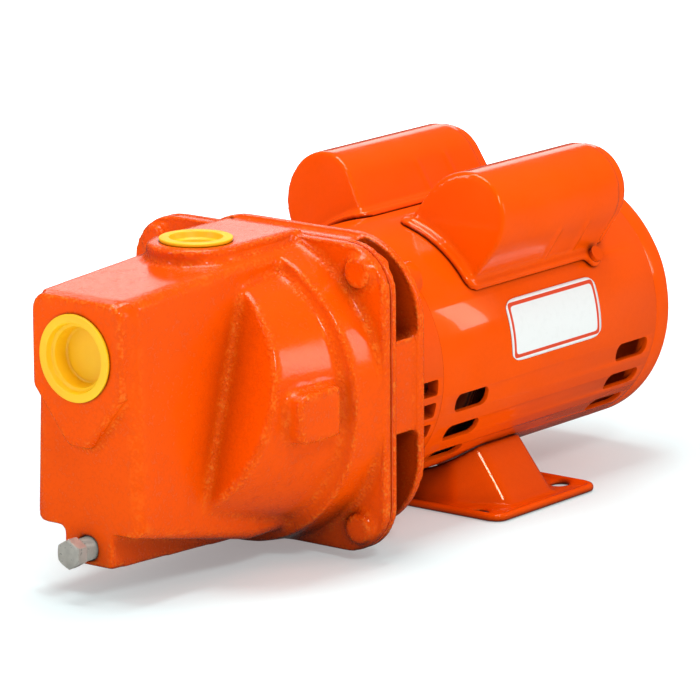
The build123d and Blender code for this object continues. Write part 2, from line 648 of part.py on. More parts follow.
def slanted(frame, setback):
    """The plane that the front end of a cover leans back on."""
    return Plane(origin=frame.from_local_coords((0, 68, cover_front + setback)), x_dir=frame.x_dir,
                 z_dir=frame.z_dir.rotate(Axis((0, 0, 0), frame.x_dir), nose_slant))


def capacitor_cover(side, name):
    """One pressed cover, open towards the shell, with its base flange."""
    frame = cover_frame(side)
    outward = Axis((0, 0, 0), frame.y_dir)
    screw_angle = 90 - side * cover_screw_turn
    with BuildPart() as hollow:
        cover_solid(frame, cover_front, cover_rear - cover_wall, cover_radius - 1.6 - cover_wall, 50)
        split(bisect_by=slanted(frame, 2 * cover_wall), keep=Keep.TOP)
    with BuildPart() as footprint:
        middle = frame.from_local_coords((0, 60, (cover_front + cover_step) / 2 - brim_width / 2))
        with BuildSketch(Plane(origin=middle, x_dir=(1, 0, 0), z_dir=frame.y_dir)) as skirt:
            RectangleRounded(cover_step - cover_front + brim_width, 2 * (cover_radius + brim_width), 8)
        extrude(skirt.sketch, amount=20)
        with BuildSketch(outward_plane(cover_screw_x, 60, screw_angle)) as tab:
            Circle(6.5)
        extrude(tab.sketch, amount=20)
    with BuildPart() as brim:
        ring(cover_front - 8, cover_step, shell_radius + brim_height, shell_radius - 2)
        add(footprint.part, mode=Mode.INTERSECT)
    with BuildPart() as cover:
        cover_solid(frame, cover_front, cover_step, cover_radius, 60)
        split(bisect_by=slanted(frame, 0), keep=Keep.TOP)
        fillet(cover.faces().sort_by(Axis.X)[0].edges().sort_by(outward)[1:], radius=nose_round)
        cover_solid(frame, cover_step - 1, cover_rear, cover_radius - 1.6, 60)
        fillet(cover.faces().sort_by(Axis.X)[-1].edges().sort_by(outward)[1:], radius=4)
        for x in rib_places:
            with BuildSketch(frame.offset(x)) as rib:
                with Locations((0, 82)):
                    Rectangle(2 * cover_radius + 1.6, 22)
            extrude(rib.sketch, amount=2.5)
        add(brim.part)
        add(hollow.part, mode=Mode.SUBTRACT)
        ring(cover_front - 10, cover_rear + 10, shell_radius + 0.02, mode=Mode.SUBTRACT)
        with BuildSketch(outward_plane(cover_screw_x, 60, screw_angle)) as hole:
            Circle(1.95)
        extrude(hole.sketch, amount=25, mode=Mode.SUBTRACT)
    save(cover.part, name)


def capacitor(side, length, name):
    """A round can lying along the cover, with two terminals."""
    frame = cover_frame(side)
    with BuildPart() as can:
        with BuildSketch(frame.offset(-28)) as body:
            with Locations((0, can_centre)):
                Circle(can_radius)
        extrude(body.sketch, amount=length)
        fillet(can.edges().filter_by(GeomType.CIRCLE), radius=1.2)
        with BuildSketch(frame.offset(-28 + length)) as tabs:
            with Locations((-6, can_centre), (6, can_centre)):
                Rectangle(1, 6)
        extrude(tabs.sketch, amount=8)
    save(can.part, name)


def capacitor_clip(side, name):
    """A bent strap that holds the can against the shell."""
    frame = cover_frame(side)
    with BuildPart() as clip:
        with BuildSketch(frame.offset(8)) as strap:
            with Locations((0, can_centre)):
                Circle(can_radius + 1.5)
                Circle(can_radius + 0.4, mode=Mode.SUBTRACT)
            with Locations((-16.5, 77), (16.5, 77)):
                Rectangle(1.4, 9)
        extrude(strap.sketch, amount=14)
        ring(0, 30, shell_radius + 0.05, mode=Mode.SUBTRACT)
    save(clip.part, name)


capacitor_cover(1, "start_capacitor_cover")
capacitor_cover(-1, "run_capacitor_cover")
capacitor(1, 88, "start_capacitor")
capacitor(-1, 92, "run_capacitor")
capacitor_clip(1, "start_capacitor_clip")
capacitor_clip(-1, "run_capacitor_clip")

with BuildPart() as cover_screws:
    for angle in (90 - cover_screw_turn, 90 + cover_screw_turn):
        with BuildSketch(outward_plane(cover_screw_x, shell_radius + brim_height, angle)) as head:
            Circle(4.4)
        extrude(head.sketch, amount=2.4)
        with BuildSketch(outward_plane(cover_screw_x, shell_radius + brim_height, angle)) as stem:
            Circle(1.9)
        extrude(stem.sketch, amount=-8)
save(cover_screws.part, "cover_screws")

# ---- badge ----------------------------------------------------------------------------------
with BuildPart() as badge:
    ring(-21, 63, shell_radius + 0.5, shell_radius + 0.02)
    with BuildSketch(Plane(origin=(21, 0, H + 13), x_dir=(1, 0, 0), z_dir=(0, -1, 0))) as badge_outline:
        RectangleRounded(84, 34, 6)
    extrude(badge_outline.sketch, amount=100, mode=Mode.INTERSECT)
save(badge.part, "badge")
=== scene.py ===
"""Looks of the shallow well jet pump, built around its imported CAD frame."""

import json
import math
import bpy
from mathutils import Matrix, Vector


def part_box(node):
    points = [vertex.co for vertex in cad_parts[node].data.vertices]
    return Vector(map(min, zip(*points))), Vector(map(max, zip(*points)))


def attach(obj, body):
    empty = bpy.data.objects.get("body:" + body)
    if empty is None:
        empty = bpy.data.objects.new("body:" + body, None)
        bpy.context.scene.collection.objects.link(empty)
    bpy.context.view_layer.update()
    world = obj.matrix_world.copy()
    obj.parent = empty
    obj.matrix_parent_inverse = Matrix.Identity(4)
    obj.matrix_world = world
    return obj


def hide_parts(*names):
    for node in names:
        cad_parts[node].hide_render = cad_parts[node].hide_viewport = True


bl_info = {
    "name": "Jet Pump Finishes",
    "version": (1, 0, 0),
    "blender": (4, 5, 0),
    "location": "View3D > Sidebar > Jet Pump",
    "description": "Cast, pressed, moulded and turned pieces of a jet pump, with their finishes",
    "category": "Object",
}

import bmesh
import bpy
import numpy as np
from bpy.props import FloatProperty, FloatVectorProperty, IntProperty, PointerProperty
from mathutils import Matrix, Vector

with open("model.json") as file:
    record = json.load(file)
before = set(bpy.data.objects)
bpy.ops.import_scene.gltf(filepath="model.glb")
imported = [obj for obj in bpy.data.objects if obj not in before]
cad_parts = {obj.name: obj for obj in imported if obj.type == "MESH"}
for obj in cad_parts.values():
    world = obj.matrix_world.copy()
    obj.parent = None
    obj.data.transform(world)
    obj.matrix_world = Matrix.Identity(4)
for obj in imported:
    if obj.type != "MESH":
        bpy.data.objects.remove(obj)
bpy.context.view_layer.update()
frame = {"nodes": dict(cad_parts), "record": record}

MM = 0.001
SHAFT_HEIGHT = 0.0889
SHELL_RADIUS = 0.07205
TURN = 2 * math.pi
MIX_FIRST, MIX_SECOND, MIX_COLOUR = 6, 7, 2   # a Mix node's two colour inputs and its colour output


# ---- settings ------------------------------------------------------------------------------
class PumpFinishSettings(bpy.types.PropertyGroup):
    """Colours and grain of the pump's finishes."""
    enamel: FloatVectorProperty(name="Enamel", description="Colour of the enamel on castings and pressings",
                                subtype="COLOR", size=3, min=0, max=1, default=(0.96, 0.088, 0.0))
    # the darker enamel colour that the sand grain's pits and a slow drift go towards
    enamel_deep: FloatVectorProperty(name="Enamel in hollows", description="Enamel where it has pooled in the grain",
                                     subtype="COLOR", size=3, min=0, max=1, default=(0.50, 0.025, 0.001))
    # painted shade: the dark enamel colour put deep inside openings, where shade falls
    enamel_shade: FloatVectorProperty(name="Enamel in shade", description="Enamel deep inside openings",
                                      subtype="COLOR", size=3, min=0, max=1, default=(0.055, 0.004, 0.001))
    # painted highlight: the lighter enamel colour put on grain crests along edges and inner corners, standing for the
    # glints of the gloss
    painted_sparkle_enamel: FloatVectorProperty(name="Enamel on edges", description="Thin enamel along the casting's edges",
                                     subtype="COLOR", size=3, min=0, max=1, default=(1.0, 0.21, 0.02))
    plug_yellow: FloatVectorProperty(name="Port caps", description="Colour of the moulded port caps",
                                     subtype="COLOR", size=3, min=0, max=1, default=(0.98, 0.56, 0.004))
    zinc: FloatVectorProperty(name="Zinc", description="Colour of zinc-plated fasteners",
                              subtype="COLOR", size=3, min=0, max=1, default=(0.60, 0.56, 0.50))
    sand_grain: FloatProperty(name="Sand grain", description="Size of the sand grain left on the castings",
                              unit="LENGTH", default=1.9 * MM, min=0.2 * MM, max=5 * MM)
    sand_depth: FloatProperty(name="Sand depth", description="Depth of the sand grain on the castings",
                              unit="LENGTH", default=0.9 * MM, min=0, max=2 * MM)


class PumpShapeSettings(bpy.types.PropertyGroup):
    """Sizes of the details that are added to the pump."""
    cast_voxel: FloatProperty(name="Cast detail", description="Smallest detail kept on the castings",
                              unit="LENGTH", default=1.7 * MM, min=1 * MM, max=5 * MM)
    sheet_voxel: FloatProperty(name="Pressed detail", description="Smallest detail kept on pressed sheet",
                               unit="LENGTH", default=1.1 * MM, min=0.6 * MM, max=3 * MM)
    cast_rounding: IntProperty(name="Cast rounding", description="Smoothing passes that round the castings",
                               default=5, min=0, max=40)
    edge_radius: FloatProperty(name="Edge radius", description="Rounding of machined and die-cast edges",
                               unit="LENGTH", default=0.6 * MM, min=0, max=2 * MM)
    pipe_pitch: FloatProperty(name="Pipe thread pitch", description="Pitch of the threads in the two ports",
                              unit="LENGTH", default=2.21 * MM, min=1 * MM, max=4 * MM)


class PumpStageSettings(bpy.types.PropertyGroup):
    """Camera, floor and studio lights."""
    camera_place: FloatVectorProperty(name="Camera", description="Where the camera stands", subtype="TRANSLATION",
                                      size=3, default=(-2.36676, -1.79312, 0.76711))
    camera_aim: FloatVectorProperty(name="Aim", description="Point that the camera looks at",
                                    subtype="TRANSLATION", size=3, default=(-0.1062, -0.02343, 0.10239))
    camera_roll: FloatProperty(name="Roll", description="Turn of the camera about its own line of sight",
                               unit="ROTATION", default=math.radians(-0.31))
    lens: FloatProperty(name="Lens", description="Focal length in millimetres on a 36 mm sensor", default=278.55)
    shift: FloatVectorProperty(name="Shift", description="Camera shift that frames the pump", size=2,
                               default=(0.0034, -0.0031))
    floor_size: FloatProperty(name="Floor", description="Side of the pale floor", unit="LENGTH", default=40.0)


# ---- meshes --------------------------------------------------------------------------------
def new_piece(name, mesh):
    """Put a mesh into the scene as an object at the origin."""
    piece = bpy.data.objects.new(name, mesh)
    bpy.context.scene.collection.objects.link(piece)
    return piece


def tidy_mesh(mesh, smooth_angle=35.0, weld=1e-6, outward=True):
    """Weld doubled points, face everything outwards and keep edges sharper than the angle crisp."""
    work = bmesh.new()
    work.from_mesh(mesh)
    bmesh.ops.remove_doubles(work, verts=work.verts, dist=weld)
    bmesh.ops.dissolve_degenerate(work, edges=work.edges, dist=weld)
    if outward:
        bmesh.ops.recalc_face_normals(work, faces=work.faces)
    work.to_mesh(mesh)
    work.free()
    mesh.shade_smooth()
    mesh.set_sharp_from_angle(angle=math.radians(smooth_angle))
    mesh.update()


def surface(name, grid, wrap_rows=False, wrap_columns=True, smooth_angle=35.0):
    """A mesh over a grid of points, shape (rows, columns, 3): neighbours in the grid share a face.

    Rows or columns that wrap join their last line of points to the first. A row whose points all
    meet becomes a pole when the doubles are welded.
    """
    rows, columns = grid.shape[:2]
    r, c = np.meshgrid(np.arange(rows - (not wrap_rows)), np.arange(columns - (not wrap_columns)), indexing="ij")
    r2, c2 = (r + 1) % rows, (c + 1) % columns
    corners = np.stack([r * columns + c, r2 * columns + c, r2 * columns + c2, r * columns + c2], -1)
    mesh = bpy.data.meshes.new(name)
    mesh.from_pydata(grid.reshape(-1, 3).tolist(), [], corners.reshape(-1, 4).tolist())
    tidy_mesh(mesh, smooth_angle)
    return new_piece(name, mesh)


def joined(name, pieces):
    """One object from several, each already in place."""
    work = bmesh.new()
    for piece in pieces:
        work.from_mesh(piece.data)
        bpy.data.objects.remove(piece)
    mesh = bpy.data.meshes.new(name)
    work.to_mesh(mesh)
    work.free()
    return new_piece(name, mesh)


def soft_corners(points, radius, steps=5):
    """Round a closed outline's corners.

    Each corner P becomes the curve (1-t)^2 A + 2t(1-t) P + t^2 B, where A and B lie on the two sides
    next to it, a radius away or 0.45 of the side if that is less.
    """
    p = np.asarray(points, float)
    to_next = np.roll(p, -1, 0) - p
    length = np.linalg.norm(to_next, axis=1, keepdims=True)
    step = to_next / length * np.minimum(radius, 0.45 * length)
    a, b = p - np.roll(step, 1, 0), p + step
    t = np.linspace(0, 1, steps)[None, :, None]
    return ((1 - t) ** 2 * a[:, None] + 2 * t * (1 - t) * p[:, None] + t ** 2 * b[:, None]).reshape(-1, 2)


def axes_for(direction):
    """Two unit vectors that make a right-handed set with the direction."""
    along = np.asarray(direction, float)
    along = along / np.linalg.norm(along)
    helper = np.array([0.0, 0.0, 1.0]) if abs(along[2]) < 0.9 else np.array([1.0, 0.0, 0.0])
    side = np.cross(helper, along)
    side /= np.linalg.norm(side)
    return along, side, np.cross(along, side)


def spun_grid(profile, origin, direction, columns=96, ripple=None):
    """Points of a profile of (height, radius) carried round an axis.

    Point = origin + height * axis + radius * (cos(a) * side + sin(a) * up), with the angle a running
    over the columns. A ripple is a function of height, radius and angle that gives the new radius.
    """
    along, side, up = axes_for(direction)
    angle = np.arange(columns) * TURN / columns
    height, radius = (np.asarray(profile, float)[:, k][:, None] + 0 * angle for k in (0, 1))
    if ripple is not None:
        radius = ripple(height, radius, angle[None, :] + 0 * height)
    ring = np.cos(angle)[None, :, None] * side + np.sin(angle)[None, :, None] * up
    return np.asarray(origin, float) + height[..., None] * along + radius[..., None] * ring


def hex_radius(angle, across_flats):
    """Distance from the axis to a hexagon's side: half its width over the cosine from the flat's middle."""
    sixth = TURN / 6
    return across_flats / 2 / np.cos((angle + sixth / 2) % sixth - sixth / 2)


def hex_head(name, origin, direction, across_flats, height, washer=0.0):
    """A hexagon head with its corners chamfered by a cone.

    Radius = the smaller of the hexagon's own and a cone that leaves the flats' inscribed circle at the top.
    """
    top_ring = across_flats * 0.475
    profile = [(0, 0), (0, across_flats * 0.56), (height * 0.12, across_flats * 0.6)]
    profile += [(height * t, 1.0) for t in np.linspace(0.14, 0.74, 5)]
    profile += [(height * t, 1.0) for t in np.linspace(0.78, 0.985, 6)]
    profile += [(height, top_ring), (height * 0.99, top_ring * 0.8), (height * 0.985, 0)]

    def ripple(h, r, a):
        cone = top_ring + (height - h) * 1.7
        return np.where(h > height * 0.13, np.minimum(np.minimum(r, hex_radius(a, across_flats)), cone),
                        np.minimum(r, hex_radius(a, across_flats)))
    head = surface(name, spun_grid(profile, origin, direction, 96, ripple), smooth_angle=24)
    if not washer:
        return head
    rim = soft_corners([(-washer, 0.0001), (-washer, across_flats * 0.66), (0, across_flats * 0.66), (0, 0.0001)],
                       washer * 0.3, 3)
    return joined(name, [head, surface(name + "_washer", spun_grid(rim, origin, direction, 64), True)])


def threaded_rod(name, origin, direction, radius, length, pitch, lead_in=0.6 * MM):
    """A screw thread on a rod.

    Radius = rod radius - depth * |2 frac(height / pitch - angle / turn) - 1|, cut back at the free end.
    """
    rows = max(24, int(length / pitch * 10))
    heights = np.linspace(0, length, rows)
    body = np.stack([heights, np.full(rows, radius)], 1)
    profile = np.vstack([[(0, 0)], body, [(length, 0)]])

    def ripple(h, r, a):
        tooth = np.abs(2 * ((h / pitch - a / TURN) % 1.0) - 1)
        cut = r - 0.55 * pitch * tooth
        end = np.clip((length - h) / lead_in, 0, 1)
        return np.where(r > 0, cut * (0.86 + 0.14 * end), 0)
    return surface(name, spun_grid(profile, origin, direction, 64, ripple), smooth_angle=50)


def threaded_sleeve(name, origin, direction, bore, outside, length, pitch):
    """The thread inside a port, as a thin sleeve whose inner wall is cut.

    Inner radius = bore - depth * (1 - |2 frac(height / pitch - angle / turn) - 1|).
    """
    heights = np.linspace(0, length, int(length / pitch * 8))
    inner = np.stack([heights, np.full(len(heights), bore)], 1)
    profile = np.vstack([inner, [(length, outside), (0, outside)]])

    def ripple(h, r, a):
        tooth = 1 - np.abs(2 * ((h / pitch - a / TURN) % 1.0) - 1)
        fade = np.clip(np.minimum(h, length - h) / pitch, 0, 1)
        return np.where(r < outside - 1e-9, bore - 0.45 * pitch * tooth * fade, r)
    return surface(name, spun_grid(profile, origin, direction, 96, ripple), True, smooth_angle=60)


def welded_copy(node, name):
    """A copy of a CAD node's mesh with its loose triangles joined."""
    mesh = frame["nodes"][node].data.copy()
    mesh.materials.clear()
    piece = new_piece(name, mesh)
    work = bmesh.new()
    work.from_mesh(mesh)
    bmesh.ops.remove_doubles(work, verts=work.verts, dist=4e-6)
    work.to_mesh(mesh)
    work.free()
    return piece


def settle(piece):
    """Replace a piece's mesh by what its modifiers make of it."""
    bpy.context.view_layer.update()
    shaped = bpy.data.meshes.new_from_object(piece.evaluated_get(bpy.context.evaluated_depsgraph_get()))
    piece.modifiers.clear()
    piece.data = shaped
    return piece


def points_of(mesh):
    """A mesh's points as an array of shape (count, 3)."""
    flat = np.empty(len(mesh.vertices) * 3, np.float32)
    mesh.vertices.foreach_get("co", flat)
    return flat.reshape(-1, 3)


KEPT_VOXELS = 3


def rounded_skin(node, name, voxel, passes, kept_face=None):
    """A CAD node's shape with every edge and inner corner rounded, as sand casting and pressing leave it.

    Near a kept face, given by its x, a point goes back towards where it was before the rounding: all
    the way at the face, and not at all from KEPT_VOXELS off.
    """
    piece = welded_copy(node, name)
    remesh = piece.modifiers.new("even mesh", "REMESH")
    remesh.mode = "VOXEL"
    remesh.voxel_size = voxel
    settle(piece)
    square = points_of(piece.data).copy()
    smooth = piece.modifiers.new("rounding", "SMOOTH")
    smooth.factor = 0.5
    smooth.iterations = passes
    settle(piece)
    if kept_face is not None:
        soft = points_of(piece.data)
        keep = np.clip(1 - np.abs(square[:, :1] - kept_face) / (KEPT_VOXELS * voxel), 0, 1) ** 0.5
        piece.data.vertices.foreach_set("co", (soft + (square - soft) * keep).ravel())
        piece.data.update()
    piece.data.shade_smooth()
    return piece


def edged_skin(node, name, radius, angle=32.0):
    """A CAD node's shape with its sharp edges rounded over."""
    piece = welded_copy(node, name)
    work = bmesh.new()
    work.from_mesh(piece.data)
    bmesh.ops.dissolve_limit(work, angle_limit=math.radians(0.6), verts=work.verts, edges=work.edges)
    work.to_mesh(piece.data)
    work.free()
    bevel = piece.modifiers.new("edges", "BEVEL")
    bevel.width = radius
    bevel.segments = 2
    bevel.limit_method = "ANGLE"
    bevel.angle_limit = math.radians(angle)
    bevel.harden_normals = False
    settle(piece)
    piece.data.shade_smooth()
    piece.data.set_sharp_from_angle(angle=math.radians(46))
    return piece


# ---- finishes ------------------------------------------------------------------------------
def make_group(name, inputs, outputs):
    """An empty shader node group with named sockets; returns it with its input and output nodes."""
    group = bpy.data.node_groups.new(name, "ShaderNodeTree")
    for label, kind, value in inputs:
        socket = group.interface.new_socket(label, in_out="INPUT", socket_type=kind)
        if value is not None:
            socket.default_value = value
    for label, kind in outputs:
        group.interface.new_socket(label, in_out="OUTPUT", socket_type=kind)
    return group, group.nodes.new("NodeGroupInput"), group.nodes.new("NodeGroupOutput")


def add_node(tree, kind, inputs=None, **settings):
    """A node with its settings, and its inputs linked to a socket or set to a value."""
    node = tree.nodes.new(kind)
    for key, value in settings.items():
        setattr(node, key, value)
    for key, value in (inputs or {}).items():
        if isinstance(value, bpy.types.NodeSocket):
            tree.links.new(value, node.inputs[key])
        else:
            node.inputs[key].default_value = value
    return node


def grain_group():
    """Two sizes of noise and the dips of a cell pattern, as a height and a mask of the pits."""
    group, start, end = make_group("Sand grain", [("Vector", "NodeSocketVector", None),
                                                  ("Scale", "NodeSocketFloat", 800.0),
                                                  ("Cell share", "NodeSocketFloat", 0.5)],
                                   [("Height", "NodeSocketFloat"), ("Pits", "NodeSocketFloat")])
    coarse = add_node(group, "ShaderNodeMath", {0: start.outputs["Scale"], 1: 0.22}, operation="MULTIPLY")
    swell = add_node(group, "ShaderNodeTexNoise", {"Vector": start.outputs["Vector"], "Scale": coarse.outputs[0],
                                                   "Detail": 2.0, "Roughness": 0.5})
    fine = add_node(group, "ShaderNodeTexNoise", {"Vector": start.outputs["Vector"], "Scale": start.outputs["Scale"],
                                                  "Detail": 3.0, "Roughness": 0.6})
    cells = add_node(group, "ShaderNodeTexVoronoi", {"Vector": start.outputs["Vector"],
                                                     "Scale": start.outputs["Scale"]})
    dips = add_node(group, "ShaderNodeMath", {0: cells.outputs["Distance"], 1: start.outputs["Cell share"]},
                    operation="MULTIPLY")
    both = add_node(group, "ShaderNodeMath", {0: fine.outputs["Fac"], 1: dips.outputs[0]}, operation="SUBTRACT")
    height = add_node(group, "ShaderNodeMath", {0: swell.outputs["Fac"], 1: 0.9, 2: both.outputs[0]},
                      operation="MULTIPLY_ADD")
    pits = add_node(group, "ShaderNodeMapRange", {"Value": height.outputs[0], "From Min": 0.72, "From Max": 0.25})
    group.links.new(height.outputs[0], end.inputs["Height"])
    group.links.new(pits.outputs["Result"], end.inputs["Pits"])
    return group


def tint_group():
    """A colour that goes deeper in the pits and lighter on the edges, with a slow drift between; the lighter edges are
    a painted highlight.
    """
    group, start, end = make_group("Enamel tint", [("Vector", "NodeSocketVector", None),
                                                   ("Colour", "NodeSocketColor", (1, 0.1, 0, 1)),
                                                   ("Deep", "NodeSocketColor", (0.5, 0.02, 0, 1)),
                                                   ("Edge", "NodeSocketColor", (1, 0.3, 0.05, 1)),
                                                   ("Pits", "NodeSocketFloat", 0.0),
                                                   ("Edges", "NodeSocketFloat", 0.0)],
                                   [("Color", "NodeSocketColor")])
    drift = add_node(group, "ShaderNodeTexNoise", {"Vector": start.outputs["Vector"], "Scale": 14.0, "Detail": 2.0})
    slow = add_node(group, "ShaderNodeMapRange", {"Value": drift.outputs["Fac"], "From Min": 0.35, "From Max": 0.8,
                                                  "To Max": 0.16})
    depth = add_node(group, "ShaderNodeMath", {0: start.outputs["Pits"], 1: slow.outputs["Result"]}, operation="ADD",
                     use_clamp=True)
    deep = add_node(group, "ShaderNodeMix", {"Factor": depth.outputs[0]}, data_type="RGBA")
    group.links.new(start.outputs["Colour"], deep.inputs[MIX_FIRST])
    group.links.new(start.outputs["Deep"], deep.inputs[MIX_SECOND])
    edge = add_node(group, "ShaderNodeMix", {"Factor": start.outputs["Edges"]}, data_type="RGBA")
    group.links.new(deep.outputs[MIX_COLOUR], edge.inputs[MIX_FIRST])
    group.links.new(start.outputs["Edge"], edge.inputs[MIX_SECOND])
    group.links.new(edge.outputs[MIX_COLOUR], end.inputs["Color"])
    return group


def streak_group():
    """Fine parallel marks across one axis, as turning and drawing leave on metal."""
    group, start, end = make_group("Tool marks", [("Vector", "NodeSocketVector", None),
                                                  ("Stretch", "NodeSocketVector", (900.0, 60.0, 60.0))],
                                   [("Height", "NodeSocketFloat"), ("Rough", "NodeSocketFloat")])
    squeezed = add_node(group, "ShaderNodeVectorMath", {0: start.outputs["Vector"], 1: start.outputs["Stretch"]},
                        operation="MULTIPLY")
    marks = add_node(group, "ShaderNodeTexNoise", {"Vector": squeezed.outputs[0], "Scale": 1.0, "Detail": 4.0})
    rough = add_node(group, "ShaderNodeMapRange", {"Value": marks.outputs["Fac"], "From Min": 0.3, "From Max": 0.7,
                                                   "To Min": 0.22, "To Max": 0.48})
    group.links.new(marks.outputs["Fac"], end.inputs["Height"])
    group.links.new(rough.outputs["Result"], end.inputs["Rough"])
    return group


def place_group(tree, group, vector, **inputs):
    """Put a node group into a material, fed with the coordinates and its own values."""
    node = tree.nodes.new("ShaderNodeGroup")
    node.node_tree = group
    tree.links.new(vector, node.inputs["Vector"])
    for key, value in inputs.items():
        key = key.replace("_", " ")
        if isinstance(value, bpy.types.NodeSocket):
            tree.links.new(value, node.inputs[key])
        else:
            node.inputs[key].default_value = value
    return node


def start_material(name, colour, **sockets):
    """A material with its shader's constants set; returns it with its tree, shader and coordinates."""
    material = bpy.data.materials.new(name + "_finish")
    material.use_nodes = True
    material.diffuse_color = (*colour, 1)
    tree = material.node_tree
    shader = tree.nodes["Principled BSDF"]
    shader.inputs["Base Color"].default_value = (*colour, 1)
    for key, value in sockets.items():
        shader.inputs[key.replace("_", " ")].default_value = value
    coordinates = tree.nodes.new("ShaderNodeTexCoord").outputs["Object"]
    return material, tree, shader, coordinates


def bump(tree, shader, height, distance, strength=1.0):
    """Feed a height to the shader's normal."""
    node = add_node(tree, "ShaderNodeBump", {"Strength": strength, "Distance": distance, "Height": height})
    tree.links.new(node.outputs["Normal"], shader.inputs["Normal"])
    return node


def spread(tree, value, low, high, start=0.0, stop=1.0):
    """A value carried from one range to another."""
    node = add_node(tree, "ShaderNodeMapRange", {"Value": value, "From Min": start, "From Max": stop,
                                                 "To Min": low, "To Max": high})
    return node.outputs["Result"]


def noise(tree, vector, scale, detail=2.0):
    """A plain noise value."""
    return add_node(tree, "ShaderNodeTexNoise", {"Vector": vector, "Scale": scale, "Detail": detail}).outputs["Fac"]


def blended(tree, factor, first, second):
    """A colour between two, by a factor from 0 to 1."""
    node = add_node(tree, "ShaderNodeMix", {"Factor": factor}, data_type="RGBA")
    for socket, value in ((node.inputs[MIX_FIRST], first), (node.inputs[MIX_SECOND], second)):
        if isinstance(value, bpy.types.NodeSocket):
            tree.links.new(value, socket)
        else:
            socket.default_value = (*value, 1)
    return node.outputs[MIX_COLOUR]


FINISHES = {}
ENAMEL_SHEEN = (1.0, 0.36, 0.06, 1.0)       # the pigment tints the enamel's own gloss
CAST_SHADE, SHEET_SHADE = 40 * MM, 24 * MM   # how far the shade of openings reaches on castings and on sheet


def painted_shade_in_openings(tree, reach):
    """Painted shade: how far inside a hollow a point lies, by ambient occlusion: 0 in the open, 1 deep inside."""
    node = add_node(tree, "ShaderNodeAmbientOcclusion", {"Distance": reach}, samples=8)
    return spread(tree, node.outputs["AO"], 1.0, 0.0, 0.16, 0.80)


def cast_enamel(settings, groups):
    """Glossy enamel over a sand casting: the grain shows most along edges and inner corners, where its crests carry a
    painted highlight in the colour; deep inside openings the colour carries painted shade.
    """
    material, tree, shader, at = start_material("casing_paint", settings.enamel, Coat_Weight=0.45,
                                                Coat_Roughness=0.12, Specular_IOR_Level=0.40,
                                                Specular_Tint=ENAMEL_SHEEN)
    grain = place_group(tree, groups["grain"], at, Scale=1 / settings.sand_grain, Cell_share=0.55)
    point = tree.nodes.new("ShaderNodeNewGeometry").outputs["Pointiness"]
    away = add_node(tree, "ShaderNodeMath", {0: point, 1: 0.5}, operation="SUBTRACT").outputs[0]
    turn = add_node(tree, "ShaderNodeMath", {0: away}, operation="ABSOLUTE").outputs[0]
    corner = spread(tree, turn, 0.0, 1.0, 0.004, 0.035)
    # painted highlight: a lighter enamel colour on the grain's crests at edges and inner corners stands for the glints
    # of the gloss
    crest = spread(tree, grain.outputs["Height"], 0.0, 0.60, 0.70, 0.90)
    painted_sparkle = add_node(tree, "ShaderNodeMath", {0: corner, 1: crest}, operation="MULTIPLY").outputs[0]
    tint = place_group(tree, groups["tint"], at, Colour=(*settings.enamel, 1), Deep=(*settings.enamel_deep, 1),
                       Edge=(*settings.painted_sparkle_enamel, 1), Pits=spread(tree, grain.outputs["Pits"], 0.0, 0.22),
                       Edges=painted_sparkle)
    # painted shade: the base colour goes towards the dark shade colour deep inside openings
    tree.links.new(blended(tree, painted_shade_in_openings(tree, CAST_SHADE), tint.outputs["Color"], settings.enamel_shade),
                   shader.inputs["Base Color"])
    tree.links.new(spread(tree, grain.outputs["Pits"], 0.16, 0.36), shader.inputs["Roughness"])
    share = spread(tree, corner, 0.26, 1.5)
    height = add_node(tree, "ShaderNodeMath", {0: grain.outputs["Height"], 1: share}, operation="MULTIPLY")
    bump(tree, shader, height.outputs[0], settings.sand_depth, 0.85)
    return material


def smooth_enamel(name, settings, groups, orange_peel=0.05 * MM):
    """Glossy enamel on smooth metal, with a faint orange peel and painted shade deep inside openings."""
    material, tree, shader, at = start_material(name, settings.enamel, Coat_Weight=0.50, Coat_Roughness=0.04,
                                                Specular_IOR_Level=0.45, Specular_Tint=ENAMEL_SHEEN)
    peel = noise(tree, at, 420.0, 2.0)
    tint = place_group(tree, groups["tint"], at, Colour=(*settings.enamel, 1), Deep=(*settings.enamel_deep, 1),
                       Edge=(*settings.painted_sparkle_enamel, 1), Pits=spread(tree, peel, 0.0, 0.05, 0.3, 0.7), Edges=0.0)
    # painted shade: the base colour goes towards the dark shade colour deep inside openings
    tree.links.new(blended(tree, painted_shade_in_openings(tree, SHEET_SHADE), tint.outputs["Color"], settings.enamel_shade),
                   shader.inputs["Base Color"])
    tree.links.new(spread(tree, noise(tree, at, 60.0), 0.12, 0.24, 0.3, 0.7), shader.inputs["Roughness"])
    bump(tree, shader, peel, orange_peel, 0.5)
    return material


def moulded(name, colour, deep, rough, groups, grain=0.6 * MM, depth=0.04 * MM, **sockets):
    """Moulded plastic or rubber with a fine skin and a little drift of colour."""
    material, tree, shader, at = start_material(name, colour, **sockets)
    skin = place_group(tree, groups["grain"], at, Scale=1 / grain, Cell_share=0.2)
    tree.links.new(blended(tree, spread(tree, noise(tree, at, 45.0, 3.0), 0.0, 0.6, 0.35, 0.75), colour, deep),
                   shader.inputs["Base Color"])
    tree.links.new(spread(tree, skin.outputs["Height"], rough - 0.06, rough + 0.08, 0.2, 1.2),
                   shader.inputs["Roughness"])
    bump(tree, shader, skin.outputs["Height"], depth, 0.6)
    return material


def worked_metal(name, colour, dull, groups, stretch=(900.0, 60.0, 60.0), depth=0.03 * MM, dirt=0.35,
                 bare=1.0):
    """Bare or plated metal with tool marks and duller patches; dull plate is less than fully bare."""
    material, tree, shader, at = start_material(name, colour, Metallic=bare)
    marks = place_group(tree, groups["marks"], at, Stretch=stretch)
    patches = spread(tree, noise(tree, at, 120.0, 4.0), 0.0, dirt, 0.42, 0.68)
    tree.links.new(blended(tree, patches, colour, dull), shader.inputs["Base Color"])
    tree.links.new(marks.outputs["Rough"], shader.inputs["Roughness"])
    bump(tree, shader, marks.outputs["Height"], depth, 0.5)
    return material


